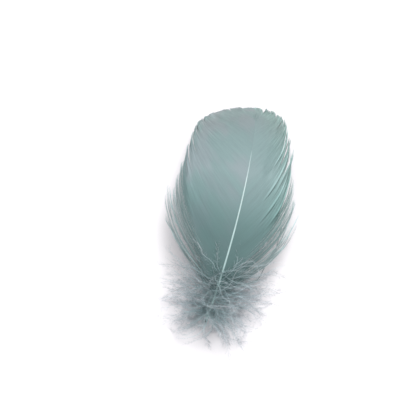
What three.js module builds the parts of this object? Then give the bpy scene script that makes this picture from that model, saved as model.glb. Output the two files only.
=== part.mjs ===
// A dyed goose body feather, lying on a table with its back (the rounded side) up.
// Millimetres, +Z up, +Y from the foot of the quill towards the tip of the vane.
// The origin is on the table, under the middle of the feather.
import * as THREE from "three";
import { mergeVertices } from "three/addons/utils/BufferGeometryUtils.js";

// --- the whole feather, measured along its curve from the back of the down to the tip ---
const FEATHER_LENGTH = 135;
const QUILL_FOOT = 16; // the down reaches this far behind the quill
const VANE_START = 27; // the first barb that belongs to the closed vane
const RACHIS_END = 120; // beyond it the last barbs run on alone

// --- how the feather bends: it rises from the table, arches over and dips to the tip ---
const START_PITCH = 20.6; // degrees above the table
const PITCH_FALL = 64; // degrees lost between back and tip, slowly at first
const START_HEADING = 9; // degrees to the right of +Y
const HEADING_FALL = 22; // degrees of gentle sideways bend between back and tip
const ROLL = 4; // degrees that the whole feather leans to its narrower side

// --- the shaft's own section ---
const CALAMUS_RADIUS = 0.6;
const VANE_FOOT_RADIUS = 0.45;
const RACHIS_TIP_RADIUS = 0.14;
const QUILL_POINT = 2.5; // length over which the foot narrows to its end
const QUILL_END_SHARE = 0.45; // and the share of its radius that is left there
const SHAFT_SINK = 0.45; // share of its radius that the shaft lies under the vane
const SHAFT_SIDES = 12;
const SHAFT_STEPS = 52;
const SHAFT_CROWDING = 1.15; // above 1, the rings lie closer together at the foot

// --- the vanes ---
// Width is along the camber, at the first barbs. The taper is the share of it left at half height.
const LEFT_VANE = { side: -1, width: 29.5, taper: 0.97, camberRadius: 46 };
const RIGHT_VANE = { side: 1, width: 21.5, taper: 0.76, camberRadius: 28 };
const TAPER_END = 0.45; // share of the barbs over which the vane narrows to its taper
const CORNER_POWER = 3.3; // a higher power keeps the vane broad for longer below the tip
const CORNER_ROUND = 0.62;
const VANE_THICKNESS = 0.5;
const FIRST_BARB_END = 73; // how far along the feather the first barb ends
const END_CROWDING = 2.45; // above 1, most barbs run on to the blunt end of the feather
const FIRST_BARB_CURL = 2.1; // above 1, a barb leaves steeply and ends along the margin
const LAST_BARB_CURL = 1.7;
const VANE_STEPS = 34;
const BARB_STEPS = 10;

// --- the down at the foot ---
const DOWN_END = 47; // under the vane
const DOWN_HALF_WIDTH = 25;
const DOWN_OVER_SHAFT = 2.5; // the down's crown beside the bare stem
const DOWN_UNDER_VANE = 1.5; // and its depth below the stem where the vane covers it
const DOWN_TUCK = [5, 27]; // distances between which it sinks from one to the other
const DOWN_RIM = 1.2; // height of its outer edge
const DOWN_SLOPE = 1.3; // 1 falls away from the shaft like a tent, and more bulges like a pillow
const DOWN_BLUNT = 0.95; // 1 rounds its ends off to a point, and less leaves them blunt
const DOWN_STEPS = 18;

const GAP = 0.3; // between neighbouring solids
const CURVE_STEP = 0.5;

const radians = THREE.MathUtils.degToRad;
const clamp = THREE.MathUtils.clamp;
const lerp = THREE.MathUtils.lerp;
const smoothstep = THREE.MathUtils.smoothstep;

// --- the feather's line, which the shaft follows ---

function direction(distance) {
  const along = distance / FEATHER_LENGTH;
  const pitch = radians(START_PITCH - PITCH_FALL * along * along);
  const heading = radians(START_HEADING - HEADING_FALL * along);
  const level = Math.cos(pitch);
  return new THREE.Vector3(
    Math.sin(heading) * level,
    Math.cos(heading) * level,
    Math.sin(pitch),
  );
}

function walkLine() {
  const points = [new THREE.Vector3()];
  for (let d = 0; d < FEATHER_LENGTH; d += CURVE_STEP) {
    const ahead = direction(d + CURVE_STEP / 2).multiplyScalar(CURVE_STEP);
    points.push(points.at(-1).clone().add(ahead));
  }
  return points;
}

const line = walkLine();

// The point of the line at a distance along it, with its forward, right and up directions.
function frameAt(distance) {
  const place = clamp(distance / CURVE_STEP, 0, line.length - 1.001);
  const index = Math.floor(place);
  const point = line[index].clone().lerp(line[index + 1], place - index);
  const forward = direction(distance);
  const roll = radians(ROLL);
  const right = new THREE.Vector3(forward.y, -forward.x, 0).normalize().applyAxisAngle(forward, roll);
  const up = right.clone().cross(forward);
  return { point, right, up };
}

function shaftRadius(distance) {
  const bare = Math.max(distance - QUILL_FOOT, 0);
  if (bare < QUILL_POINT) {
    return CALAMUS_RADIUS * lerp(QUILL_END_SHARE, 1, Math.sqrt(bare / QUILL_POINT));
  }
  if (distance < VANE_START) {
    const share = (bare - QUILL_POINT) / (VANE_START - QUILL_FOOT - QUILL_POINT);
    return lerp(CALAMUS_RADIUS, VANE_FOOT_RADIUS, share * share);
  }
  const share = (distance - VANE_START) / (RACHIS_END - VANE_START);
  return lerp(VANE_FOOT_RADIUS, RACHIS_TIP_RADIUS, Math.min(share, 1));
}

// --- closed meshes ---

// A closed body from a grid of rings: each ring is a list of points, and both ends are capped.
function loft(rings) {
  const sides = rings[0].length;
  const positions = rings.flat().flatMap((p) => p.toArray());
  const faces = [];
  for (let i = 0; i + 1 < rings.length; i += 1) {
    for (let j = 0; j < sides; j += 1) {
      const next = (j + 1) % sides;
      const a = i * sides + j;
      const b = i * sides + next;
      faces.push(a, b, a + sides, b, b + sides, a + sides);
    }
  }
  const last = (rings.length - 1) * sides;
  for (let j = 1; j + 1 < sides; j += 1) {
    faces.push(0, j + 1, j, last, last + j, last + j + 1);
  }
  const geometry = new THREE.BufferGeometry();
  geometry.setAttribute("position", new THREE.Float32BufferAttribute(positions, 3));
  geometry.setIndex(faces);
  return geometry;
}

// A closed slab between a top and a bottom sheet, both functions of two numbers from 0 to 1.
function slab(top, bottom, rows, columns) {
  const positions = [];
  for (const sheet of [top, bottom]) {
    for (let i = 0; i <= rows; i += 1) {
      for (let j = 0; j <= columns; j += 1) {
        positions.push(...sheet(i / rows, j / columns).toArray());
      }
    }
  }
  const width = columns + 1;
  const under = (rows + 1) * width;
  const at = (i, j) => i * width + j;
  const faces = [];
  const quad = (a, b, c, d) => faces.push(a, b, c, a, c, d);
  for (let i = 0; i < rows; i += 1) {
    for (let j = 0; j < columns; j += 1) {
      const corners = [at(i, j), at(i, j + 1), at(i + 1, j + 1), at(i + 1, j)];
      quad(...corners);
      quad(...corners.map((k) => k + under).reverse());
    }
  }
  const wall = (a, b) => quad(b, a, a + under, b + under);
  for (let j = 0; j < columns; j += 1) {
    wall(at(0, j), at(0, j + 1));
    wall(at(rows, j + 1), at(rows, j));
  }
  for (let i = 0; i < rows; i += 1) {
    wall(at(i + 1, 0), at(i, 0));
    wall(at(i, columns), at(i + 1, columns));
  }
  const geometry = new THREE.BufferGeometry();
  geometry.setAttribute("position", new THREE.Float32BufferAttribute(positions, 3));
  geometry.setIndex(faces);
  return mergeVertices(geometry, 1e-4);
}

// The faces of a mirrored slab point inwards until each triangle is turned round.
function turnedOut(geometry) {
  const index = geometry.index.array;
  for (let i = 0; i < index.length; i += 3) {
    [index[i + 1], index[i + 2]] = [index[i + 2], index[i + 1]];
  }
  return geometry;
}

// --- the pieces ---

function shaftGeometry() {
  const rings = [];
  for (let i = 0; i <= SHAFT_STEPS; i += 1) {
    const distance = lerp(QUILL_FOOT, RACHIS_END, (i / SHAFT_STEPS) ** SHAFT_CROWDING);
    const radius = shaftRadius(distance);
    const { point, right, up } = frameAt(distance);
    const middle = point.clone().addScaledVector(up, -radius * SHAFT_SINK);
    const ring = [];
    for (let j = 0; j < SHAFT_SIDES; j += 1) {
      const turn = (2 * Math.PI * j) / SHAFT_SIDES;
      ring.push(
        middle
          .clone()
          .addScaledVector(right, radius * Math.cos(turn))
          .addScaledVector(up, -radius * Math.sin(turn)),
      );
    }
    rings.push(ring);
  }
  return loft(rings);
}

// A point of the curved vane, by its distance along the feather and sideways from the shaft.
function vanePoint({ side, camberRadius }, along, sideways, lift) {
  const { point, right, up } = frameAt(along);
  const turn = sideways / camberRadius;
  const radius = camberRadius + lift;
  return point
    .clone()
    .addScaledVector(right, side * radius * Math.sin(turn))
    .addScaledVector(up, radius * Math.cos(turn) - camberRadius);
}

// How far from the shaft a barb ends: the vane tapers slowly, then rounds off at its corner.
function marginWidth({ width, taper }, barb) {
  const tapered = width * lerp(1, taper, smoothstep(barb, 0, TAPER_END));
  return tapered * (1 - barb ** CORNER_POWER) ** CORNER_ROUND;
}

// The vane follows its barbs: one number picks the barb, the other the place along it.
function vaneGeometry(vane) {
  const sheet = (lift) => (barb, along) => {
    const root = lerp(VANE_START, RACHIS_END, barb);
    const end = lerp(FEATHER_LENGTH, FIRST_BARB_END, (1 - barb) ** END_CROWDING);
    const inner = shaftRadius(root) + GAP;
    const outer = Math.max(marginWidth(vane, barb), inner + GAP);
    const curl = lerp(FIRST_BARB_CURL, LAST_BARB_CURL, barb);
    const sideways = lerp(inner, outer, 1 - (1 - along) ** curl);
    return vanePoint(vane, lerp(root, end, along), sideways, lift);
  };
  const half = VANE_THICKNESS / 2;
  const geometry = slab(sheet(half), sheet(-half), VANE_STEPS, BARB_STEPS);
  return vane.side < 0 ? turnedOut(geometry) : geometry;
}

// The down is a cushion with a flat underside on the table, highest beside the shaft.
function downGeometry(side) {
  const sheet = (heightAt) => (along, across) => {
    const distance = DOWN_END * along;
    const { point } = frameAt(distance);
    const round = Math.sqrt(1 - (DOWN_BLUNT * (2 * along - 1)) ** 2);
    const inner = shaftRadius(distance) + GAP;
    const outer = DOWN_HALF_WIDTH * round;
    const x = point.x + side * lerp(inner, outer, across);
    return new THREE.Vector3(x, point.y, heightAt(distance, point.z, round, across));
  };
  const crown = (distance, shaftHeight, round, across) => {
    const tuck = smoothstep(distance, ...DOWN_TUCK);
    const top = shaftHeight + lerp(DOWN_OVER_SHAFT, -DOWN_UNDER_VANE, tuck);
    return lerp(tableHeight + DOWN_RIM, top, round * (1 - across ** DOWN_SLOPE));
  };
  const geometry = slab(sheet(crown), sheet(() => tableHeight), DOWN_STEPS, DOWN_STEPS / 2);
  return side < 0 ? turnedOut(geometry) : geometry;
}

// The feather stands on the tip of its vane, so the table is at the vane's lowest point.
function lowestOf(geometry) {
  geometry.computeBoundingBox();
  return geometry.boundingBox.min.z;
}

// --- colours and assembly ---

const quillHorn = new THREE.MeshStandardMaterial({ color: 0xa9d3cf, roughness: 0.4, metalness: 0 });
const vaneTeal = new THREE.MeshStandardMaterial({ color: 0x8fb0b1, roughness: 0.6, metalness: 0 });
const downTeal = new THREE.MeshStandardMaterial({ color: 0x8b9fa6, roughness: 0.9, metalness: 0 });

function named(name, geometry, material) {
  const mesh = new THREE.Mesh(geometry, material);
  mesh.name = name;
  return mesh;
}

const leftVane = vaneGeometry(LEFT_VANE);
const rightVane = vaneGeometry(RIGHT_VANE);
const tableHeight = Math.min(lowestOf(leftVane), lowestOf(rightVane));

const feather = new THREE.Group();
feather.add(
  named("shaft", shaftGeometry(), quillHorn),
  named("left_vane", leftVane, vaneTeal),
  named("right_vane", rightVane, vaneTeal.clone()),
  named("left_down", downGeometry(-1), downTeal),
  named("right_down", downGeometry(1), downTeal.clone()),
);

const bounds = new THREE.Box3().setFromObject(feather, true);
const middle = bounds.getCenter(new THREE.Vector3());
feather.position.set(-middle.x, -middle.y, -bounds.min.z);

export default feather;
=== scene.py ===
# A dyed goose body feather that lies back up on a pale table.
# The quill is one lofted tube, each vane is made barb by barb and the down strand by strand, all as
# closed meshes. Lengths are in millimetres, in the feather's own frame with the start of its line at the
# origin, until a piece is written as a mesh in metres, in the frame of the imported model.
import math

import bpy
import numpy as np
from mathutils import Matrix, Vector


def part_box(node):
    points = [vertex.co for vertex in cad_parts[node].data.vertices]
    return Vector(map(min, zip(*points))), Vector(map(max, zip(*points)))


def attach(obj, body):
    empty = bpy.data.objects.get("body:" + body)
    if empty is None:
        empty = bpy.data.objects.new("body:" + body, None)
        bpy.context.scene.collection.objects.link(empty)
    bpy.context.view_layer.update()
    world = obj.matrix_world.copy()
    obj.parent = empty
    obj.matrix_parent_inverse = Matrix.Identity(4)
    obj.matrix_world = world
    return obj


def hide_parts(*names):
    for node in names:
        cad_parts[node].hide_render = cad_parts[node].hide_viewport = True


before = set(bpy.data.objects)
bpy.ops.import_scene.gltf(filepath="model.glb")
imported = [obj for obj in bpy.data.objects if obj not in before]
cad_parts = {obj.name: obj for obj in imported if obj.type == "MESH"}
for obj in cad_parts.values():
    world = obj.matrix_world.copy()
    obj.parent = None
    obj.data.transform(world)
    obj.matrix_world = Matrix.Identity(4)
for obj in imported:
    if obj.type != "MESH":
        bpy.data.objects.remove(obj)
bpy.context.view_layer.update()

MM = 0.001
CAD_BODY = "root"
UV_MAP = "OFBake"
FLOOR_GAP = 0.06  # no hair or barb comes nearer to the table

# --- the feather's line, measured from the back of the down: it rises, arches over and dips to the tip ---
FEATHER_LENGTH = 135.0
QUILL_FOOT = 16.0  # the down reaches this far behind the quill
VANE_START = 27.0
RACHIS_END = 120.0  # beyond it the last barbs run on alone
START_PITCH, PITCH_FALL = 20.6, 64.0  # degrees above the table, and degrees lost on the way to the tip
START_HEADING, HEADING_FALL = 9.0, 22.0  # the same, to the right of +Y
ROLL = 4.0  # degrees that the feather leans to its narrower side
CURVE_STEP = 0.5
LINE_END = 145.0  # past the tip, because some barbs are a little longer

# --- the shaft's section ---
CALAMUS_RADIUS = 0.6
VANE_FOOT_RADIUS = 0.45
RACHIS_TIP_RADIUS = 0.14
QUILL_POINT, QUILL_END_SHARE = 2.5, 0.45  # how the foot narrows: over what length, to what share
SHAFT_SINK = 0.45  # share of its radius that the shaft lies under the vane
SHAFT_STATIONS, SHAFT_CROWDING = 150, 1.15
SHAFT_SIDES = 20
GROOVE_DEPTH, GROOVE_WIDTH = 0.35, 0.35  # share of the radius, and radians round the shaft
GROOVE_FADE = 8.0  # the groove begins over this length on each side of the vane's foot

# --- the vanes' outline, as the CAD model has it ---
TAPER_END = 0.45
CORNER_POWER, CORNER_ROUND = 3.3, 0.62
FIRST_BARB_END, END_CROWDING = 73.0, 2.45
FIRST_CURL, LAST_CURL = 2.1, 1.7

# --- the barbs of each vane; a share of the vane goes from 0 at its foot to 1 at its tip ---
BARBS = 240
TIP_CROWDING, CROWDED_FROM = 1.5, 0.7  # the last barbs lie closer together, from this share of the vane
BARB_STATIONS, STATION_CROWDING = 30, 1.25
ROOT_SHARE = 0.3  # share of the shaft's radius at which the barbs start, from its middle
LEAST_REACH = 0.1  # how far even the last barb reaches sideways
LOOSE_BARBS = 0.14  # share of the vane with loose, downy barbs
LOOSE_SCATTER = (-0.6, 0.25)
LOOSE_LIFT = 0.8
LOOSE_WAVES, LOOSE_WAVE_COUNT = 1.3, 90
SHORT_BARBS, SHORTEST = 0.10, 0.40  # the first barbs break off at random, down to this share of them
CLOSING_BARBS = 0.90  # from this share of the vane the barbs close over the end of the rachis,
CLOSING_PULL = 0.4  # by this much at their tips,
NEAREST_BARB = (0.05, -0.3)  # and come this near to its middle or cross it
RIPPLE, RIPPLE_WAVES = 0.12, 110
LENGTH_SCATTER, LENGTH_RIPPLE, LENGTH_WAVES = 0.9, 0.3, 55
WIDEST_BARB, NARROWEST_BARB = 0.24, 0.07
BARB_OVERLAP = 0.68  # half a barb's width, as a share of the room between the barbs
BARE_TIP_WIDTH, BARE_TIP_SCATTER = 0.035, 0.05
BARE_TIP, POINTED_TIP = 0.88, 0.97  # shares of a barb's length where it loses its web, and comes to a point
BARB_THICKNESS = (0.05, 0.02)
BARB_RIDGE, BARB_KEEL = 1.2, 1.6  # height and depth, as shares of the thickness
BARB_SHINGLE = 0.12  # how far a barb's edges tilt, as a share of its half width

LOCK_OPENING = 0.35  # share of a barb's length over which a lock comes free
PARTING_OPENING, PARTING_CLOSING = 0.25, 0.12  # the same for the two ends of a parting
PARTING_RIDGE, PARTING_DIP = (0.3, 0.9), (-0.3, 0.4)  # place and width of its raised and its lowered edge

# Random locks of barbs that hold together. Each row: how many barbs a lock has, where it comes free along
# its barbs, the share of its width that it loses at its end, and how far it leans and strays, in mm.
LEFT_LOCKS = [
    {"barbs": (4, 10), "free": (0.80, 1.0), "gather": 0.65, "lean": 0.06, "stray": 0.05},
    {"barbs": (12, 30), "free": (0.45, 0.95), "gather": 0.12, "lean": 0.30, "stray": 0.15},
]
RIGHT_LOCKS = [
    {"barbs": (4, 9), "free": (0.70, 0.98), "gather": 0.65, "lean": 0.09, "stray": 0.08},
    {"barbs": (9, 22), "free": (0.35, 0.80), "gather": 0.18, "lean": 0.45, "stray": 0.25},
]

# Partings that show on this feather. Each row: share of the vane, where it opens and closes along the
# barbs, how high the edge towards the tip is lifted, how deep the other edge dips and how wide they part
# at the margin, in mm, how many barbs give way on each side, and how strongly the painted highlight and
# painted shadow on the two edges show in the colour.
LEFT_PARTINGS = [
    (0.20, 0.55, 1.3, 0.2, 0.4, 0.2, 6, 0.7),
    (0.31, 0.62, 1.3, 0.3, 0.4, 0.2, 7, 1.0),
    (0.50, 0.70, 1.3, 0.4, 0.5, 0.3, 8, 0.8),
    (0.74, 0.74, 1.3, 0.3, 0.4, 0.2, 7, 0.0),
]
RIGHT_PARTINGS = [
    (0.14, 0.35, 1.3, 0.4, 0.5, 0.5, 6, 1.0),
    (0.21, 0.22, 0.70, 0.3, 0.4, 0.0, 5, 1.0),
    (0.26, 0.45, 1.3, 0.2, 0.4, 0.3, 4, 1.2),
    (0.30, 0.27, 0.60, 0.3, 0.8, 0.0, 4, 1.3),
    (0.32, 0.62, 1.3, 0.3, 0.5, 0.6, 7, 1.2),
    (0.37, 0.48, 1.3, 0.2, 0.4, 0.2, 4, 1.1),
    (0.42, 0.40, 1.3, 0.5, 0.5, 0.5, 6, 2.0),
    (0.49, 0.66, 1.3, 0.2, 0.4, 0.2, 4, 0.9),
    (0.56, 0.60, 1.3, 0.3, 0.5, 0.4, 7, 1.1),
    (0.63, 0.70, 1.3, 0.2, 0.4, 0.2, 4, 0.7),
    (0.70, 0.66, 1.3, 0.3, 0.4, 0.3, 7, 0.9),
    (0.84, 0.60, 1.3, 0.2, 0.3, 0.1, 6, 0.0),
]

# Locks that hang outside the margin. Each row: first and last barb as shares of the vane, where the lock
# leaves the others along its barbs, and how far out it hangs.
RIGHT_LOOSE = [(0.24, 0.275, 0.50, 1.7), (0.345, 0.37, 0.55, 1.3), (0.10, 0.115, 0.50, 1.8)]
LEFT_LOOSE = [(0.10, 0.115, 0.60, 1.1), (0.21, 0.22, 0.75, 0.7)]
LOOSE_SPREAD = 12  # how far such a lock's barbs draw apart or together, in mm for the whole vane

# Width, taper and camber are the CAD model's. "combed" is how far the barbs rise at random and "fanned"
# how far the loose ones fan out, in mm. The second row of each vane tells how its colour varies.
LEFT_VANE = {
    "side": -1, "width": 29.5, "taper": 0.97, "camber": 46.0, "combed": 0.07, "fanned": 4.0, "seed": 11,
    "contrast": (0.30, 1.15), "bright": 0.30, "lilac": 1.0, "green": 0.0,
    "locks": LEFT_LOCKS, "partings": LEFT_PARTINGS, "loose": LEFT_LOOSE,
}
RIGHT_VANE = {
    "side": 1, "width": 21.5, "taper": 0.76, "camber": 28.0, "combed": 0.18, "fanned": 6.5, "seed": 12,
    "contrast": (0.35, 2.0), "bright": 0.65, "lilac": 0.3, "green": 1.0,
    "locks": RIGHT_LOCKS, "partings": RIGHT_PARTINGS, "loose": RIGHT_LOOSE,
}

# --- the fine hairs along the free ends of the barbs: on the loose barbs, and on the closed vane ---
DOWNY_BARBS = 0.26  # share of the vane over which the first kind turns into the second
HAIR_START = (0.08, 0.86)
HAIR_PITCH = (0.25, 0.30)
HAIR_LENGTH = (2.3, 0.6)
HAIR_RADIUS = 0.014
HAIR_OPENING, HAIR_SCATTER = 34, 8  # degrees between a hair and its barb
HAIR_CURL = 0.35  # how strongly every hair bends back along its barb
HAIR_BEND = 0.15  # how much that varies
HAIR_STANDING = 0.35  # how far the hairs stand out of the vane's sheet
HAIR_SIZES = (0.6, 1.2)  # random share of the length
HAIR_UV_WIDTH = 0.006

# --- the down ---
DOWN_LAYERS = 2
DOWN_BARBS = 70  # in each layer of each side
DOWN_STATIONS = 26
DOWN_ROOTS = (19.0, 36.5)
DOWN_LEAN = (128, 52)  # degrees from the shaft's direction, at the first root and at the last
DOWN_LEAN_SPREAD = 22
DOWN_CLIMB, CLIMB_FALL = (-72, 35), 10  # degrees above the vane's sheet, and degrees lost by the last root
DOWN_LENGTH, DOWN_SIZES = (17.5, 28.0), (0.7, 1.1)  # the second is a random share of the first
DOWN_CROSSING, CROSSING_CLIMB = 0.14, (45, 80)  # share of the strands that cross over the shaft
CROSSING_PULL = (0.8, 1.8)
DOWN_DROOP = (0.2, 0.8)
DOWN_FOLLOW = (-0.1, 0.5)
DOWN_WANDER, LATE_WANDER = 0.6, 0.9
DOWN_RISE = 0.55  # strands rise less than they would, because the down is pressed flat
DOWN_WAVES = ((14.0, 0.45), (5.0, 0.09))  # each wave's length and size
WAVE_SPREAD = (0.7, 1.4)  # random share of that length
DOWN_THICKNESS = (0.20, 0.05)
FLOOR_CLEARANCE = (0.15, 1.8)
HEADROOM = (0.3, 3.2)  # how far the strands may rise above their roots
SLEEK_SHARE = 0.25  # share of the strands with short barbules and a thicker stem
SLEEK_SIZE, SLEEK_THICKNESS = 0.4, 1.3
STRAND_TONES, BARBULE_TONES = (0.03, 0.45), (0.53, 0.95)  # their places across the UV map

# --- the barbules of the down, in tufts that share their turn, opening and size ---
BARBULE_PITCH = 0.088
BARBULE_LENGTH, BARBULE_SIZES = (1.1, 3.2), (0.75, 1.1)
BARBULE_TIP_SIZE = 0.65  # how short they become at a strand's tip
BARBULE_RADIUS, BARBULE_BEND = 0.013, 0.10
BARBULE_OPENING = (62, 42)  # degrees at a strand's root and at its tip
TUFT_PITCH, TUFT_GATHER = 1.1, 0.6
TUFT_TURN, TUFT_OPENING = 0.7, 12  # spread of the tufts, in radians round the strand and in degrees
BARBULE_TURN, BARBULE_SCATTER = 0.15, 4  # the same for the hairs in a tuft
STRAND_TWIST = 3  # spread of how far the two ranks wind round their strand, in radians

# --- the camera, which keeps the photograph's view: it looks at one point of the shaft ---
IMAGE_SIZE = 400
LENS, SENSOR = 85.0, 36.0
VIEW_AZIMUTH, VIEW_ELEVATION = 15.0, 58.9
VIEW_DISTANCE = 376.0
ANCHOR_DISTANCE = 40.0
ANCHOR_PIXEL = (224.6, 265.0)

# --- colours; a tint's first number is its place along the vane, the strand or the quill ---
# the vane's colour up its height: dye, with a darker foot that is partly painted shade
VANE_DYE_AND_PAINTED_SHADE = [
    (0.10, (0.072, 0.150, 0.147)),
    (0.22, (0.082, 0.168, 0.165)),
    (0.29, (0.102, 0.201, 0.196)),
    (0.39, (0.160, 0.267, 0.266)),
    (0.52, (0.220, 0.325, 0.328)),
    (0.70, (0.200, 0.300, 0.300)),
    (0.82, (0.184, 0.268, 0.264)),
]
DOWNY_TINT = (0.30, 0.385, 0.395, 1)
LILAC_SHIFT = (1.13, 0.985, 1.03)
GREEN_SHIFT = (0.99, 1.08, 1.02)
PAINTED_EDGE_HIGHLIGHT, PAINTED_EDGE_SHADOW = 0.52, -0.38  # painted highlight on a parting's raised edge and painted shadow on its lowered edge
VANE_STREAKS = [(26, 1.2, 2.0, 0.2), (120, 3.5, 2.0, 0.4), (420, 9.0, 1.0, 0.4)]  # the last is its weight
DOWN_TINTS = [
    (0.0, (0.265, 0.378, 0.388)),
    (0.4, (0.445, 0.540, 0.560)),
    (1.0, (0.670, 0.690, 0.720)),
]
QUILL_TINTS = [
    (0.025, (0.045, 0.060, 0.068)),
    (0.040, (0.25, 0.38, 0.37)),
    (0.20, (0.33, 0.48, 0.47)),
    (0.32, (0.40, 0.56, 0.55)),
    (0.48, (0.43, 0.58, 0.57)),
    (0.63, (0.49, 0.63, 0.62)),
    (0.69, (0.37, 0.49, 0.49)),
    (0.745, (0.32, 0.44, 0.44)),
    (0.775, (0.205, 0.295, 0.300)),
    (1.00, (0.175, 0.255, 0.260)),
]
TABLE_COLOUR = (0.80, 0.785, 0.80, 1)
TABLE_REACH = 30.0  # metres
SKY_COLOUR = (1.0, 0.985, 1.0, 1)


def lerp(a, b, share):
    return a + (b - a) * share


def smoothstep(low, high, value):
    share = np.clip((value - low) / (high - low), 0, 1)
    return share * share * (3 - 2 * share)


def unit(vectors):
    return vectors / np.maximum(np.linalg.norm(vectors, axis=-1, keepdims=True), 1e-9)


def bump(value, middle, width):
    return np.exp(-((value - middle) / width) ** 2)


def column(values):
    """One value for each barb or strand, ready to be spread along it."""
    return values[:, None]


def ripples(rng, rows, columns, row_waves, column_waves):
    """Smooth noise from -1 to 1 on a grid, with about that many waves along its rows and columns."""
    knots = rng.uniform(-1, 1, (row_waves + 2, column_waves + 2))
    down = np.linspace(0, row_waves, rows)
    across = np.linspace(0, column_waves, columns)
    i, j = down.astype(int), across.astype(int)
    a = smoothstep(0, 1, down - i)[:, None]
    b = smoothstep(0, 1, across - j)[None, :]
    top = lerp(knots[i][:, j], knots[i][:, j + 1], b)
    bottom = lerp(knots[i + 1][:, j], knots[i + 1][:, j + 1], b)
    return lerp(top, bottom, a)


# --- the shaft's line as the CAD model has it ---

def direction(distance):
    along = np.asarray(distance, float) / FEATHER_LENGTH
    pitch = np.radians(START_PITCH - PITCH_FALL * along ** 2)
    heading = np.radians(START_HEADING - HEADING_FALL * along)
    level = np.cos(pitch)
    return np.stack([np.sin(heading) * level, np.cos(heading) * level, np.sin(pitch)], axis=-1)


line_distances = np.arange(0, LINE_END + CURVE_STEP, CURVE_STEP)
line_steps = direction(line_distances[:-1] + CURVE_STEP / 2) * CURVE_STEP
line_points = np.vstack([np.zeros(3), np.cumsum(line_steps, axis=0)])


def frame_at(distance):
    """The line's point at each distance along it, with its forward, right and up directions."""
    point = np.stack([np.interp(distance, line_distances, line_points[:, k]) for k in range(3)], axis=-1)
    forward = direction(distance)
    level_right = unit(np.stack([forward[..., 1], -forward[..., 0], 0 * forward[..., 0]], axis=-1))
    level_up = np.cross(level_right, forward)
    roll = math.radians(ROLL)
    right = level_right * math.cos(roll) - level_up * math.sin(roll)
    return point, forward, right, np.cross(right, forward)


def shaft_radius(distance):
    distance = np.asarray(distance, float)
    bare = np.maximum(distance - QUILL_FOOT, 0)
    point = CALAMUS_RADIUS * lerp(QUILL_END_SHARE, 1, np.sqrt(np.clip(bare / QUILL_POINT, 0, 1)))
    calamus_share = (bare - QUILL_POINT) / (VANE_START - QUILL_FOOT - QUILL_POINT)
    calamus = lerp(CALAMUS_RADIUS, VANE_FOOT_RADIUS, np.clip(calamus_share, 0, 1) ** 2)
    rachis_share = (distance - VANE_START) / (RACHIS_END - VANE_START)
    rachis = lerp(VANE_FOOT_RADIUS, RACHIS_TIP_RADIUS, np.clip(rachis_share, 0, 1))
    return np.where(bare < QUILL_POINT, point, np.where(distance < VANE_START, calamus, rachis))


# --- closed meshes: every function returns points, faces and a place in the UV map for each point ---

def tubes(rings, uv):
    """Closed tubes through rings of points, as an array of tubes, rings, sides and coordinates."""
    count, length, sides = rings.shape[:3]
    index = np.arange(count * length * sides).reshape(count, length, sides)
    turned = np.roll(index, -1, axis=2)
    walls = np.stack([index[:, :-1], turned[:, :-1], turned[:, 1:], index[:, 1:]], axis=-1)
    caps = np.concatenate([index[:, 0, ::-1], index[:, -1]])
    return rings.reshape(-1, 3), [walls.reshape(-1, 4), caps], uv.reshape(-1, 2)


def spindles(base, middle, tip, radius, uv, uv_width):
    """Thin three-sided hairs that bend at their middle; uv is the place of each root."""
    heading = unit(middle - base)
    away = np.where(np.abs(heading[:, 2:]) < 0.8, np.array([0, 0, 1.0]), np.array([1.0, 0, 0]))
    side = unit(np.cross(heading, away))
    over = np.cross(side, heading)
    turns = np.arange(3) * 2 * math.pi / 3
    ring = side[:, None] * np.cos(turns)[None, :, None] + over[:, None] * np.sin(turns)[None, :, None]
    points = np.concatenate([base[:, None], middle[:, None] + ring * radius, tip[:, None]], axis=1)
    corners = np.array([[0.5, 0], [0, 1], [1, 1], [0.5, 1.3], [0.5, 2]]) * uv_width
    places = (uv[:, None] + corners).reshape(-1, 2)
    start = (np.arange(len(base)) * 5)[:, None, None]
    triangles = np.array([[0, 2, 1], [0, 3, 2], [0, 1, 3], [1, 2, 4], [2, 3, 4], [3, 1, 4]])
    return points.reshape(-1, 3), [(start + triangles).reshape(-1, 3)], places


def signed_volume(points, faces):
    total = 0.0
    for group in faces:
        first = points[group[:, 0]]
        for k in range(1, group.shape[1] - 1):
            total += np.einsum("ij,ij->", first, np.cross(points[group[:, k]], points[group[:, k + 1]]))
    return total / 6


def faces_out(part):
    points, faces, uv = part
    if signed_volume(points - points.mean(0), faces) < 0:
        faces = [group[:, ::-1] for group in faces]
    return points, faces, uv


def joined(parts):
    """The points of all parts, their places in the UV map, and their faces in groups of equal size."""
    points, places, groups, first = [], [], [], 0
    for part_points, part_faces, part_uv in map(faces_out, parts):
        points.append(part_points)
        places.append(part_uv)
        groups += [group + first for group in part_faces]
        first += len(part_points)
    return np.concatenate(points), np.concatenate(places), groups


def new_mesh(name, points, places, groups, sharp_angle):
    corners = np.concatenate([group.ravel() for group in groups])
    sizes = np.concatenate([np.full(len(group), group.shape[1]) for group in groups])
    starts = np.concatenate([[0], np.cumsum(sizes)[:-1]])
    mesh = bpy.data.meshes.new(name)
    mesh.vertices.add(len(points))
    mesh.vertices.foreach_set("co", points.astype(np.float32).ravel())
    mesh.loops.add(len(corners))
    mesh.loops.foreach_set("vertex_index", corners.astype(np.int32))
    mesh.polygons.add(len(sizes))
    mesh.polygons.foreach_set("loop_start", starts.astype(np.int32))
    mesh.polygons.foreach_set("use_smooth", np.ones(len(sizes), bool))
    mesh.update(calc_edges=True)
    layer = mesh.uv_layers.new(name=UV_MAP)
    layer.data.foreach_set("uv", places[corners].astype(np.float32).ravel())
    mesh.validate()
    mesh.set_sharp_from_angle(angle=math.radians(sharp_angle))
    print(name, "triangles", int((sizes - 2).sum()))
    return mesh


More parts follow.
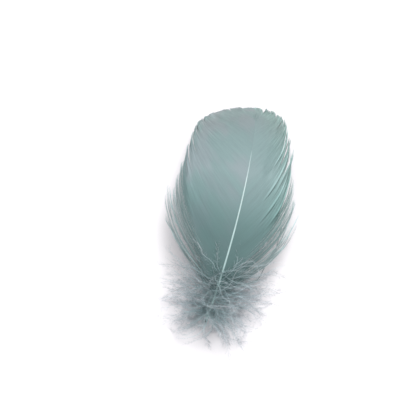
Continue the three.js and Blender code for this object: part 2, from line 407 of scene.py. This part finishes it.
def piece(name, parts, material, node, sharp_angle):
    """Writes the parts as one mesh in metres and declares what it rides on and stands for."""
    points, places, groups = joined(parts)
    points = (points + start_in_frame) * MM
    mesh = new_mesh(name, points, np.clip(places, 0.001, 0.999), groups, sharp_angle)
    mesh.materials.append(material)
    made = bpy.data.objects.new(name, mesh)
    bpy.context.scene.collection.objects.link(made)
    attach(made, CAD_BODY)
    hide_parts(node)


# --- hairs that grow from lines, for the down and for the barbs' free ends ---

def spread_along(rng, counts):
    """For every hair, the line that it grows from and its place along that line from 0 to 1."""
    owner = np.repeat(np.arange(len(counts)), counts)
    first = np.repeat(np.cumsum(counts) - counts, counts)
    return owner, (np.arange(len(owner)) - first + rng.uniform(0, 1, len(owner))) / counts[owner]


def point_on(lines, owner, place):
    """The point at each place of its line, with the line's direction there."""
    scaled = np.clip(place, 0, 0.9999) * (lines.shape[1] - 1)
    i = scaled.astype(int)
    start, end = lines[owner, i], lines[owner, i + 1]
    return lerp(start, end, (scaled - i)[:, None]), unit(end - start)


def hairs(rng, base, tangent, out, open_angle, size, bend, radius, uv):
    """Hairs that leave their line at an angle and bend back towards its direction."""
    heading = tangent * np.cos(open_angle)[:, None] + out * np.sin(open_angle)[:, None]
    middle = base + heading * size[:, None] / 2
    bent = unit(heading + tangent * HAIR_CURL + rng.normal(0, bend, base.shape))
    tip = middle + bent * size[:, None] / 2
    for points in (base, middle, tip):
        points[:, 2] = np.maximum(points[:, 2], FLOOR_GAP - start_in_frame[2])
    return spindles(base, middle, tip, radius, uv, HAIR_UV_WIDTH)


# --- the shaft ---

def shaft_rings():
    distance = lerp(QUILL_FOOT, RACHIS_END, np.linspace(0, 1, SHAFT_STATIONS) ** SHAFT_CROWDING)
    point, _, right, up = frame_at(distance)
    radius = shaft_radius(distance)
    turn = 2 * math.pi * np.arange(SHAFT_SIDES) / SHAFT_SIDES
    grooved = smoothstep(VANE_START - GROOVE_FADE, VANE_START + GROOVE_FADE, distance)[:, None]
    groove = 1 - GROOVE_DEPTH * grooved * bump(turn, 1.5 * math.pi, GROOVE_WIDTH)[None]
    middle = point - up * (radius * SHAFT_SINK)[:, None]
    wide = (radius[:, None] * np.cos(turn)[None])[..., None] * right[:, None]
    tall = (radius[:, None] * np.sin(turn)[None] * groove)[..., None] * up[:, None]
    rings = middle[:, None] + wide + tall
    around = np.abs(np.linspace(-1, 1, SHAFT_SIDES, endpoint=False)) * 0.9 + 0.05
    along = np.linspace(0.01, 0.97, SHAFT_STATIONS)
    uv = np.stack(np.broadcast_arrays(around[None], along[:, None] + 0.01 * np.sin(turn)[None]), axis=-1)
    return rings[None], uv[None]


def place_of_start(rings):
    """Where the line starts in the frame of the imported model, from the box of the CAD shaft."""
    points = rings.reshape(-1, 3)
    low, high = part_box("shaft")
    return np.array((low + high) / 2) / MM - (points.min(0) + points.max(0)) / 2


shaft_lofted, shaft_uv = shaft_rings()
start_in_frame = place_of_start(shaft_lofted)


# --- the vanes ---

def sheet_point(vane, along, sideways, lift):
    """A point of the curved vane, with the vane's outward direction there."""
    point, _, right, up = frame_at(along)
    turn = (sideways / vane["camber"])[..., None]
    outward = right * vane["side"] * np.sin(turn) + up * np.cos(turn)
    return point + outward * (vane["camber"] + lift[..., None]) - up * vane["camber"], outward


def barb_places(vane, barb, along):
    """Where the barbs lie on the flat vane: distance along the feather, and sideways from the shaft."""
    root = lerp(VANE_START, RACHIS_END, barb)
    end = lerp(FEATHER_LENGTH, FIRST_BARB_END, (1 - barb) ** END_CROWDING)
    inner = ROOT_SHARE * shaft_radius(root)
    tapered = vane["width"] * lerp(1, vane["taper"], smoothstep(0, TAPER_END, barb))
    outer = np.maximum(tapered * (1 - barb ** CORNER_POWER) ** CORNER_ROUND, inner + LEAST_REACH)
    curl = lerp(FIRST_CURL, LAST_CURL, barb)
    return lerp(root, end, along), lerp(inner, outer, 1 - (1 - along) ** curl)


def barb_stations():
    """Every barb's share of the vane, and the stations along each barb from 0 to 1."""
    even = ((np.arange(BARBS) + 0.5) / BARBS)[:, None]
    barb = lerp(even, 1 - (1 - even) ** TIP_CROWDING, smoothstep(CROWDED_FROM, 1, even))
    along = (1 - (1 - np.linspace(0, 1, BARB_STATIONS)) ** STATION_CROWDING)[None]
    return barb, along


def lock_fields(rng, locks, along, spacing):
    """How far random locks draw their barbs together, and lean: shift towards the tip and lift in mm."""
    shift, lift = 0 * spacing, 0 * spacing
    for kind in locks:
        edges = np.cumsum(rng.integers(*kind["barbs"], BARBS))
        edges = np.concatenate([[0], edges[edges < BARBS - kind["barbs"][0]], [BARBS]])
        lock = np.searchsorted(edges, np.arange(BARBS), side="right") - 1
        size = np.diff(edges)[lock]
        place = column((np.arange(BARBS) + 0.5 - edges[lock]) / size * 2 - 1)
        free = column(rng.uniform(*kind["free"], len(edges))[lock])
        opened = smoothstep(free, free + LOCK_OPENING, along)
        gather = kind["gather"] * column(rng.uniform(0.5, 1, len(edges))[lock])
        shift = shift - place * column(size) / 2 * spacing * gather * opened
        shift = shift + column(rng.normal(0, kind["stray"], len(edges))[lock]) * opened
        lean = kind["lean"] * column(rng.uniform(0.3, 1, len(edges))[lock])
        raised = column(rng.uniform(-0.5, 0.5, len(edges))[lock])
        lift = lift + (place + raised) * lean * opened
    return shift, lift


def parting_fields(partings, barb, along):
    """The shift and lift of barbs beside the partings: the tip side's edge rises, the other dips."""
    shift, lift = 0 * (barb + along), 0 * (barb + along)
    for place, opens, closes, ridge, groove, gap, barbs, _ in partings:
        away = (barb - place) * BARBS / barbs
        opened = smoothstep(opens, opens + PARTING_OPENING, along)
        opened = opened * smoothstep(closes, closes - PARTING_CLOSING, along)
        shift += gap * np.sign(away) * np.exp(-np.abs(away)) * opened * smoothstep(0.5, 1, along) / 2
        raised = ridge * bump(away, *PARTING_RIDGE) * (away > 0)
        lift += opened * (raised - groove * bump(away, *PARTING_DIP) * (away < 0))
    return shift, lift


def loose_fields(loose, barb, along):
    """The outward shift of the locks that hang outside the margin."""
    shift = 0 * (barb + along)
    for first, last, leaves, out in loose:
        inside = (barb > first) & (barb < last)
        drawn = (barb - (first + last) / 2) * LOOSE_SPREAD
        shift -= inside * (out + drawn) * smoothstep(leaves, 1.1, along) ** 1.3
    return shift


def barb_fields(rng, vane, barb, along, spacing):
    """The shift towards the tip and the lift of every station of every barb, in mm."""
    shift, lift = lock_fields(rng, vane["locks"], along, spacing)
    parted, raised = parting_fields(vane["partings"], barb, along)
    shift = shift + parted + loose_fields(vane["loose"], barb, along)
    lift = lift + raised
    downy = smoothstep(LOOSE_BARBS, 0.0, barb)
    shift = shift + RIPPLE * ripples(rng, BARBS, BARB_STATIONS, RIPPLE_WAVES, 4) * along ** 2
    fan = vane["fanned"] * (downy - column(rng.uniform(*LOOSE_SCATTER, BARBS)))
    shift = shift - downy * along ** 1.4 * fan
    waves = ripples(rng, BARBS, BARB_STATIONS, LOOSE_WAVE_COUNT, 3)
    shift = shift + downy * LOOSE_WAVES * waves * along
    lift = lift + downy * along ** 1.3 * column(rng.normal(0, LOOSE_LIFT, BARBS))
    combed = vane["combed"] * ripples(rng, BARBS, BARB_STATIONS, RIPPLE_WAVES, 4)
    return shift, lift + combed * smoothstep(0.1, 0.9, along)


def moved(u, v, shift, longer):
    """Flat places moved across their barb by the shift, and along it by how much longer it is."""
    du, dv = np.gradient(u, axis=1), np.gradient(v, axis=1)
    length = np.hypot(du, dv)
    return u + (shift * dv + longer * du) / length, v + (longer * dv - shift * du) / length


def across_barbs(vane, centre, outward):
    return unit(np.cross(outward, np.gradient(centre, axis=1))) * vane["side"]


def room_between(vane, flat, outward):
    """How far apart neighbouring barbs lie, before they are shifted."""
    step = np.diff(flat, axis=0, append=flat[-1:] + (flat[-1:] - flat[-2:-1]))
    return np.abs(np.einsum("ijk,ijk->ij", step, across_barbs(vane, flat, outward)))


def barb_lines(vane):
    """The barbs' middle lines, the directions across and out of the vane, half widths and places."""
    rng = np.random.default_rng(vane["seed"])
    barb, along = barb_stations()
    kept = 1 - smoothstep(SHORT_BARBS, 0, barb) * column(rng.uniform(0, 1 - SHORTEST, BARBS))
    u, v = barb_places(vane, barb, along * kept)
    spacing = room_between(vane, *sheet_point(vane, u, v, 0 * u))
    shift, lift = barb_fields(rng, vane, barb, along, spacing)
    longer = LENGTH_SCATTER * column(rng.uniform(-1, 1, BARBS))
    longer = longer + LENGTH_RIPPLE * ripples(rng, BARBS, 1, LENGTH_WAVES, 1)
    u, v = moved(u, v, shift, longer * along ** 2)
    closing = smoothstep(CLOSING_BARBS, 1.0, barb)
    v = np.maximum(v - CLOSING_PULL * closing * along, lerp(*NEAREST_BARB, closing))
    centre, outward = sheet_point(vane, u, v, lift)
    centre[..., 2] = np.maximum(centre[..., 2], 3 * FLOOR_GAP - start_in_frame[2])

    bare = smoothstep(BARE_TIP, 1.0, along + BARE_TIP_SCATTER * column(rng.uniform(-1, 1, BARBS)))
    half = np.clip(spacing * BARB_OVERLAP, NARROWEST_BARB, WIDEST_BARB)
    half = half * lerp(1, 0.7, smoothstep(LOOSE_BARBS, 0.0, barb))
    half = lerp(half, BARE_TIP_WIDTH, bare) * lerp(0.3, 1, smoothstep(1.0, POINTED_TIP, along))
    return centre, across_barbs(vane, centre, outward), outward, half, barb[:, 0], along


def barb_ribbons(lines):
    """One closed ribbon a barb: a ridge above, a keel below and thin edges that overlap the next."""
    centre, across, outward, half, _, along = lines
    thick = np.minimum(lerp(*BARB_THICKNESS, along), half * 1.2)[..., None]
    half = half[..., None]
    tilted = across * half - outward * BARB_SHINGLE * half
    rings = np.stack([
        centre + tilted,
        centre + outward * thick * BARB_RIDGE,
        centre - tilted,
        centre - outward * thick * BARB_KEEL,
    ], axis=2)
    in_band = np.array([0.15, 0.5, 0.85, 0.5]) / BARBS
    in_length = np.array([0, 0.003, 0, -0.003])
    uv = np.empty(rings.shape[:3] + (2,))
    uv[..., 0] = (np.arange(BARBS) / BARBS)[:, None, None] + in_band
    uv[..., 1] = 0.01 + 0.98 * along[..., None] + in_length
    return rings, uv


def barb_hairs(vane, lines):
    """The hairs that fray the free ends of the barbs, longest on the downy barbs at the vane's foot."""
    centre, across, outward, _, barb, along = lines
    rng = np.random.default_rng(vane["seed"] + 100)
    webbed = smoothstep(0.0, DOWNY_BARBS, barb)
    start = lerp(*HAIR_START, webbed)
    length = np.linalg.norm(np.diff(centre, axis=1), axis=2).sum(1)
    counts = np.maximum((length * (1 - start) * 2 / lerp(*HAIR_PITCH, webbed)).astype(int), 4)
    owner, share = spread_along(rng, counts)
    count = len(owner)
    reached = start[owner] + (1 - start[owner]) * share
    place = np.interp(reached, along[0], np.linspace(0, 1, BARB_STATIONS))
    base, tangent = point_on(centre, owner, place)
    station = np.minimum((place * (BARB_STATIONS - 1)).astype(int), BARB_STATIONS - 1)
    rank = column(np.where(np.arange(count) % 2, 1.0, -1.0))
    standing = column(rng.normal(0, HAIR_STANDING, count))
    out = unit(across[owner, station] * rank + outward[owner, station] * standing)
    open_angle = np.radians(rng.normal(HAIR_OPENING, HAIR_SCATTER, count))
    size = lerp(*HAIR_LENGTH, webbed[owner]) * rng.uniform(*HAIR_SIZES, count) * lerp(1, 0.5, share ** 2)
    uv = np.stack([(owner + 0.5) / BARBS, 0.02 + 0.96 * reached], axis=-1)
    return hairs(rng, base, tangent, out, open_angle, size, HAIR_BEND, HAIR_RADIUS, uv)


def vane_parts(vane):
    lines = barb_lines(vane)
    return [tubes(*barb_ribbons(lines)), barb_hairs(vane, lines)]


# --- the down ---

def wavy(rng, line, start, up, length, share):
    """The lines with a long and a short wave added, both fading in from the root."""
    first = unit(np.cross(start, up + 0.01))
    second = np.cross(start, first)
    count = len(line)
    for wave, size in DOWN_WAVES:
        wave_length = wave * column(rng.uniform(*WAVE_SPREAD, count))
        turns = 2 * math.pi * column(length) * share[..., 0] / wave_length
        phase = rng.uniform(0, 2 * math.pi, (2, count, 1))
        grow = size * smoothstep(0, 0.3, share)
        line = line + grow * np.sin(turns + phase[0])[..., None] * first[:, None]
        line = line + grow * np.sin(turns + phase[1])[..., None] * second[:, None]
    return line


def down_headings(rng, start, forward, inward, crossing, share):
    """The strands' directions along their length, as weight, the shaft and chance turn them."""
    count = len(start)
    droop = np.array([0, 0, -1.0]) * column(rng.uniform(*DOWN_DROOP, count))
    over = column(np.where(crossing, rng.uniform(*CROSSING_PULL, count), 0)) * inward
    follow = forward * column(rng.uniform(*DOWN_FOLLOW, count))
    wander = rng.normal(0, DOWN_WANDER, (count, 3))
    late = rng.normal(0, LATE_WANDER, (count, 3))
    heading = start[:, None] + (droop + over + follow + wander)[:, None] * share + late[:, None] * share ** 3
    heading[..., 2] *= np.where(heading[..., 2] > 0, DOWN_RISE, 1)
    return unit(heading)


def down_lines(rng, side, count):
    """The middle lines of loose barbs that leave the shaft sideways, droop and curl; some cross it."""
    order = (np.arange(count) + rng.uniform(0, 1, count)) / count
    root = lerp(*DOWN_ROOTS, order)
    point, forward, right, up = frame_at(root)
    crossing = rng.uniform(0, 1, count) < DOWN_CROSSING
    crossing_climb = rng.uniform(*CROSSING_CLIMB, count)
    climb = np.where(crossing, crossing_climb, rng.uniform(*DOWN_CLIMB, count) - CLIMB_FALL * order)
    climb = column(np.radians(climb))
    lean = column(np.radians(lerp(*DOWN_LEAN, order ** 0.8) + rng.normal(0, DOWN_LEAN_SPREAD, count)))
    length = lerp(*DOWN_LENGTH, np.sin(order * 2.1) ** 0.8) * rng.uniform(*DOWN_SIZES, count)
    out = right * side * np.cos(climb) + up * np.sin(climb)
    start = forward * np.cos(lean) + out * np.sin(lean)
    radius = column(shaft_radius(root))
    start_point = point - up * radius * SHAFT_SINK + out * 0.4 * radius

    share = np.linspace(0, 1, DOWN_STATIONS)[None, :, None]
    heading = down_headings(rng, start, forward, -side * right, crossing, share)
    steps = heading * (length / (DOWN_STATIONS - 1))[:, None, None]
    line = start_point[:, None] + np.cumsum(steps, axis=1) - steps[:, :1]
    line = wavy(rng, line, start, up, length, share)
    floor = column(rng.uniform(*FLOOR_CLEARANCE, count)) - start_in_frame[2]
    ceiling = point[:, 2:] + column(rng.uniform(*HEADROOM, count))
    line[..., 2] = np.clip(line[..., 2], floor, np.maximum(ceiling, floor + 0.1))
    return line, length


def strand_tubes(line, tone, sleek):
    """Round threads along the lines, thinner to the tip."""
    tangent = unit(np.gradient(line, axis=1))
    side = unit(np.cross(tangent, np.array([0.1, 0.2, 1.0])))[:, :, None]
    over = np.cross(side, tangent[:, :, None])
    share = np.linspace(0, 1, line.shape[1])
    thickness = lerp(*DOWN_THICKNESS, share)[None] * column(np.where(sleek, SLEEK_THICKNESS, 1))
    radius = (thickness / 2)[..., None, None]
    turns = np.arange(3) * 2 * math.pi / 3
    rings = line[:, :, None] + radius * (side * np.cos(turns)[:, None] + over * np.sin(turns)[:, None])
    uv = np.empty(rings.shape[:3] + (2,))
    uv[..., 0] = tone[:, None, None] + 0.01 * np.cos(turns)
    uv[..., 1] = 0.02 + 0.94 * share[:, None] + 0.01 * np.sin(turns)
    return rings, uv


def barbules(rng, line, length, tone, sleek):
    """Fine side hairs in two ranks along each line, in small tufts that bend towards its tip."""
    owner, share = spread_along(rng, np.maximum((length / BARBULE_PITCH).astype(int), 2))
    count = len(owner)
    rank = np.arange(count) % 2
    tuft = (share * length[owner] / TUFT_PITCH).astype(int)
    tufts = (len(line), tuft.max() + 1, 2)
    own_tuft = (owner, tuft, rank)
    gathered = lerp(share, (tuft + 0.5) * TUFT_PITCH / length[owner], TUFT_GATHER)
    place = np.clip(0.03 + 0.965 * gathered, 0, 1)
    base, tangent = point_on(line, owner, place)
    flat = unit(np.cross(tangent, np.array([0.15, 0.1, 1.0])))
    over = np.cross(flat, tangent)
    twist = rng.uniform(0, 2 * math.pi, len(line))[owner]
    twist = twist + place * rng.normal(0, STRAND_TWIST, len(line))[owner]
    twist = column(twist + rng.normal(0, TUFT_TURN, tufts)[own_tuft] + rng.normal(0, BARBULE_TURN, count))
    out = (flat * np.cos(twist) + over * np.sin(twist)) * column(np.where(rank, 1.0, -1.0))
    opening = lerp(*BARBULE_OPENING, place) + rng.normal(0, TUFT_OPENING, tufts)[own_tuft]
    open_angle = np.radians(opening + rng.normal(0, BARBULE_SCATTER, count))
    size = lerp(*BARBULE_LENGTH, rng.uniform(0, 1, tufts)[own_tuft] ** 1.2)
    shorter = lerp(1, BARBULE_TIP_SIZE, smoothstep(0.7, 1, place))
    size = size * rng.uniform(*BARBULE_SIZES, count) * shorter
    size = size * np.where(sleek, SLEEK_SIZE, 1)[owner]
    uv = np.stack([tone[owner], 0.02 + 0.94 * place], axis=-1)
    return hairs(rng, base, tangent, out, open_angle, size, BARBULE_BEND, BARBULE_RADIUS, uv)


def down_parts(side, seed):
    rng = np.random.default_rng(seed)
    line, length = down_lines(rng, side, DOWN_BARBS)
    tone = rng.uniform(0, 1, DOWN_BARBS)
    sleek = rng.uniform(0, 1, DOWN_BARBS) < SLEEK_SHARE
    strands = strand_tubes(line, lerp(*STRAND_TONES, tone), sleek)
    return [tubes(*strands), barbules(rng, line, length, lerp(*BARBULE_TONES, tone), sleek)]


# --- materials ---

class Shader:
    """Short names for building a node material."""

    def __init__(self, name):
        self.material = bpy.data.materials.new(name)
        self.material.use_nodes = True
        self.tree = self.material.node_tree
        self.tree.nodes.clear()

    def node(self, kind, inputs=None, **settings):
        made = self.tree.nodes.new(kind)
        for key, value in settings.items():
            setattr(made, key, value)
        for key, value in (inputs or {}).items():
            if isinstance(value, bpy.types.NodeSocket):
                self.tree.links.new(value, made.inputs[key])
            else:
                made.inputs[key].default_value = value
        return made

    def math(self, operation, *values):
        return self.node("ShaderNodeMath", dict(enumerate(values)), operation=operation).outputs[0]

    def total(self, *values):
        added = values[0]
        for value in values[1:]:
            added = self.math("ADD", added, value)
        return added

    def places(self):
        """The UV map's two numbers."""
        source = self.node("ShaderNodeUVMap", uv_map=UV_MAP)
        split = self.node("ShaderNodeSeparateXYZ", {0: source.outputs[0]})
        return split.outputs[0], split.outputs[1]

    def streaks(self, u, v, u_scale, v_scale, detail=2.0):
        """Noise from 0 to 1, stretched over the UV map."""
        scaled = {0: self.math("MULTIPLY", u, u_scale), 1: self.math("MULTIPLY", v, v_scale)}
        vector = self.node("ShaderNodeCombineXYZ", scaled).outputs[0]
        inputs = {"Vector": vector, "Scale": 1.0, "Detail": detail}
        return self.node("ShaderNodeTexNoise", inputs, noise_dimensions="2D").outputs[0]

    def ramp(self, value, stops):
        made = self.node("ShaderNodeValToRGB", {0: value})
        elements = made.color_ramp.elements
        while len(elements) < len(stops):
            elements.new(0.5)
        for element, (place, colour) in zip(elements, stops):
            element.position = place
            element.color = (*colour, 1)
        return made.outputs[0]

    def remap(self, value, low, high, new_low, new_high):
        inputs = {0: value, 1: low, 2: high, 3: new_low, 4: new_high}
        return self.node("ShaderNodeMapRange", inputs).outputs[0]

    def mixed(self, share, first, second):
        made = self.node("ShaderNodeMix", {0: share, 6: first, 7: second}, data_type="RGBA")
        return made.outputs[2]

    def scaled(self, colour, factor):
        return self.node("ShaderNodeVectorMath", {0: colour, 1: factor}, operation="MULTIPLY").outputs[0]

    def through_light(self, colour, roughness, share, sheen=0.0):
        """A soft surface that also lets light through from behind."""
        inputs = {"Base Color": colour, "Roughness": roughness, "Sheen Weight": sheen}
        surface = self.node("ShaderNodeBsdfPrincipled", inputs).outputs[0]
        glow = self.node("ShaderNodeBsdfTranslucent", {"Color": colour}).outputs[0]
        return self.node("ShaderNodeMixShader", {0: share, 1: surface, 2: glow}).outputs[0]

    def finish(self, surface):
        output = self.node("ShaderNodeOutputMaterial")
        self.tree.links.new(surface, output.inputs[0])
        return self.material


def height_on_feather(shader, u, v):
    """How far up the vane a place of the barbs' UV map lies, from 0 at its foot to 1 at its tip."""
    height = FEATHER_LENGTH - VANE_START
    crowded = shader.math("POWER", shader.math("SUBTRACT", 1.0, u), END_CROWDING)
    end = shader.math("MULTIPLY_ADD", crowded, (FIRST_BARB_END - FEATHER_LENGTH) / height, 1.0)
    root = shader.math("MULTIPLY", u, (RACHIS_END - VANE_START) / height)
    return shader.math("MULTIPLY_ADD", shader.math("SUBTRACT", end, root), v, root)


def soft_line(shader, away, middle, reach, strength):
    """A line beside a parting that is strongest at its middle and ends at its reach."""
    distance = shader.math("ABSOLUTE", shader.math("SUBTRACT", away, middle))
    return shader.remap(distance, 0.0, reach, strength, 0.0)


def painted_edge_light(shader, u, v, partings):
    """Painted highlight along the raised lock edges on the tip side of the partings, and painted shadow
    along the lowered edges on the other side.
    """
    light = 0.0
    for place, opens, *_, clear in partings:
        if clear == 0:
            continue
        away = shader.math("SUBTRACT", u, place)
        # painted highlight on the raised edge (pale), painted shadow on the lowered edge (dark)
        pale = soft_line(shader, away, 0.010, 0.010, PAINTED_EDGE_HIGHLIGHT)
        dark = soft_line(shader, away, -0.007, 0.009, PAINTED_EDGE_SHADOW)
        shown = shader.remap(v, opens, opens + 0.2, 0.0, clear)
        light = shader.total(light, shader.math("MULTIPLY", shader.total(pale, dark), shown))
    return light


def thread_light(shader, u, v, bright):
    """Single pale and dark barbs, and wider pale locks, on the outer part of the vane."""
    threads = shader.streaks(u, v, 80, 1.6, 1.0)
    pale = shader.remap(threads, 0.60, 0.72, 0.0, bright)
    dark = shader.remap(threads, 0.40, 0.28, 0.0, -0.5 * bright)
    single = shader.math("MULTIPLY", shader.total(pale, dark), shader.remap(v, 0.35, 0.7, 0.0, 1.0))
    wide = shader.remap(shader.streaks(u, v, 34, 0.8, 1.0), 0.58, 0.72, 0.0, 0.5 * bright)
    return shader.total(single, shader.math("MULTIPLY", wide, shader.remap(v, 0.45, 0.75, 0.0, 1.0)))


def vane_light(shader, u, v, vane):
    """The factor that lightens or darkens the vane's tint, from streaks, threads and the painted highlight
    and shadow beside the partings.
    """
    streaks = 0.0
    for across, along, detail, weight in VANE_STREAKS:
        layer = shader.streaks(u, v, across, along, detail)
        streaks = shader.total(streaks, shader.math("MULTIPLY", layer, weight))
    contrast = shader.remap(v, 0.1, 0.8, *vane["contrast"])
    streaked = shader.math("MULTIPLY_ADD", shader.math("SUBTRACT", streaks, 0.5), contrast, 1.0)
    paler_end = shader.math("MULTIPLY", streaked, shader.remap(v, 0.8, 1.0, 1.0, 1.3))
    threads = thread_light(shader, u, v, vane["bright"])
    return shader.total(paler_end, threads, painted_edge_light(shader, u, v, vane["partings"]))


def vane_tint(shader, u, v, vane):
    """Dye that is deep teal at the foot and paler above, the foot's darkness partly painted shade, with
    lilac clouds, a greener margin and pale loose barbs.
    """
    tint = shader.ramp(height_on_feather(shader, u, v), VANE_DYE_AND_PAINTED_SHADE)
    lilac = shader.remap(shader.streaks(u, v, 6, 2.5), 0.42, 0.62, 0.0, vane["lilac"])
    tint = shader.mixed(lilac, tint, shader.scaled(tint, LILAC_SHIFT))
    green = shader.remap(v, 0.25, 0.7, 0.0, vane["green"])
    tint = shader.mixed(green, tint, shader.scaled(tint, GREEN_SHIFT))
    loose = shader.remap(u, 0.0, LOOSE_BARBS, 0.9, 0.0)
    downy = shader.math("MULTIPLY", loose, shader.remap(v, 0.1, 0.5, 0.0, 1.0))
    return shader.mixed(downy, tint, DOWNY_TINT)


def vane_material(vane, name):
    shader = Shader(name)
    u, v = shader.places()
    colour = shader.scaled(vane_tint(shader, u, v, vane), vane_light(shader, u, v, vane))
    return shader.finish(shader.through_light(colour, roughness=0.55, share=0.2, sheen=0.15))


def down_material():
    """Paler to the tips; the left half of the UV map, with the strands, is lighter than the barbules."""
    shader = Shader("dyed_down")
    u, v = shader.places()
    varied = shader.remap(shader.streaks(u, v, 40, 1.5), 0.3, 0.7, 0.8, 1.2)
    factor = shader.math("MULTIPLY", varied, shader.remap(u, 0.48, 0.5, 1.25, 0.9))
    colour = shader.scaled(shader.ramp(v, DOWN_TINTS), factor)
    return shader.finish(shader.through_light(colour, roughness=0.7, share=0.45, sheen=0.2))


def quill_material():
    shader = Shader("dyed_quill")
    u, v = shader.places()
    factor = shader.remap(shader.streaks(u, v, 7, 30.0), 0.3, 0.7, 0.9, 1.08)
    colour = shader.scaled(shader.ramp(v, QUILL_TINTS), factor)
    return shader.finish(shader.through_light(colour, roughness=0.35, share=0.1))


# --- the scene ---

def make_camera():
    data = bpy.data.cameras.new("camera")
    data.lens, data.sensor_width = LENS, SENSOR
    data.clip_start, data.clip_end = 0.01, 20
    camera = bpy.data.objects.new("camera", data)
    bpy.context.scene.collection.objects.link(camera)
    a, e = math.radians(VIEW_AZIMUTH), math.radians(VIEW_ELEVATION)
    back = Vector((math.sin(a) * math.cos(e), -math.cos(a) * math.cos(e), math.sin(e)))
    right = Vector((math.cos(a), math.sin(a), 0))
    up = back.cross(right)
    per_pixel = VIEW_DISTANCE * SENSOR / LENS / IMAGE_SIZE
    middle = IMAGE_SIZE / 2
    anchor = frame_at(np.array(ANCHOR_DISTANCE))[0] + start_in_frame
    place = Vector(anchor) + back * VIEW_DISTANCE
    place += right * (middle - ANCHOR_PIXEL[0]) * per_pixel + up * (ANCHOR_PIXEL[1] - middle) * per_pixel
    turned = Matrix((right, up, back)).transposed().to_4x4()
    camera.matrix_world = Matrix.Translation(place * MM) @ turned
    bpy.context.scene.camera = camera


def sun(name, towards, strength, spread):
    data = bpy.data.lights.new(name, "SUN")
    data.energy, data.angle = strength, math.radians(spread)
    light = bpy.data.objects.new(name, data)
    bpy.context.scene.collection.objects.link(light)
    light.rotation_mode = "QUATERNION"
    light.rotation_quaternion = Vector(towards).to_track_quat("Z", "Y")


def make_light():
    sun("key", towards=(0.12, 0.55, 1.0), strength=2.0, spread=36)
    world = bpy.data.worlds.new("studio")
    world.use_nodes = True
    background = world.node_tree.nodes["Background"]
    background.inputs[0].default_value = SKY_COLOUR
    background.inputs[1].default_value = 1.0
    bpy.context.scene.world = world
    bpy.context.scene.view_settings.view_transform = "Standard"


def make_floor():
    corners = [(x * TABLE_REACH, y * TABLE_REACH, 0) for x, y in ((-1, -1), (1, -1), (1, 1), (-1, 1))]
    mesh = bpy.data.meshes.new("table_top")
    mesh.from_pydata(corners, [], [(0, 1, 2, 3)])
    shader = Shader("pale_table")
    paper = shader.node("ShaderNodeBsdfPrincipled", {"Base Color": TABLE_COLOUR, "Roughness": 0.8})
    mesh.materials.append(shader.finish(paper.outputs[0]))
    floor = bpy.data.objects.new("table_top", mesh)
    bpy.context.scene.collection.objects.link(floor)


def make_feather():
    piece("quill", [tubes(shaft_lofted, shaft_uv)], quill_material(), "shaft", sharp_angle=60)
    for vane, word in ((LEFT_VANE, "left"), (RIGHT_VANE, "right")):
        material = vane_material(vane, f"{word}_barbs_dye_and_painted_light")
        piece(f"{word}_barbs", vane_parts(vane), material, f"{word}_vane", sharp_angle=50)
    material = down_material()
    for side, word in ((-1, "left"), (1, "right")):
        for layer in range(1, DOWN_LAYERS + 1):
            parts = down_parts(side, seed=20 * layer + side)
            piece(f"{word}_fluff_{layer}", parts, material, f"{word}_down", sharp_angle=60)


make_camera()
make_light()
make_floor()
make_feather()
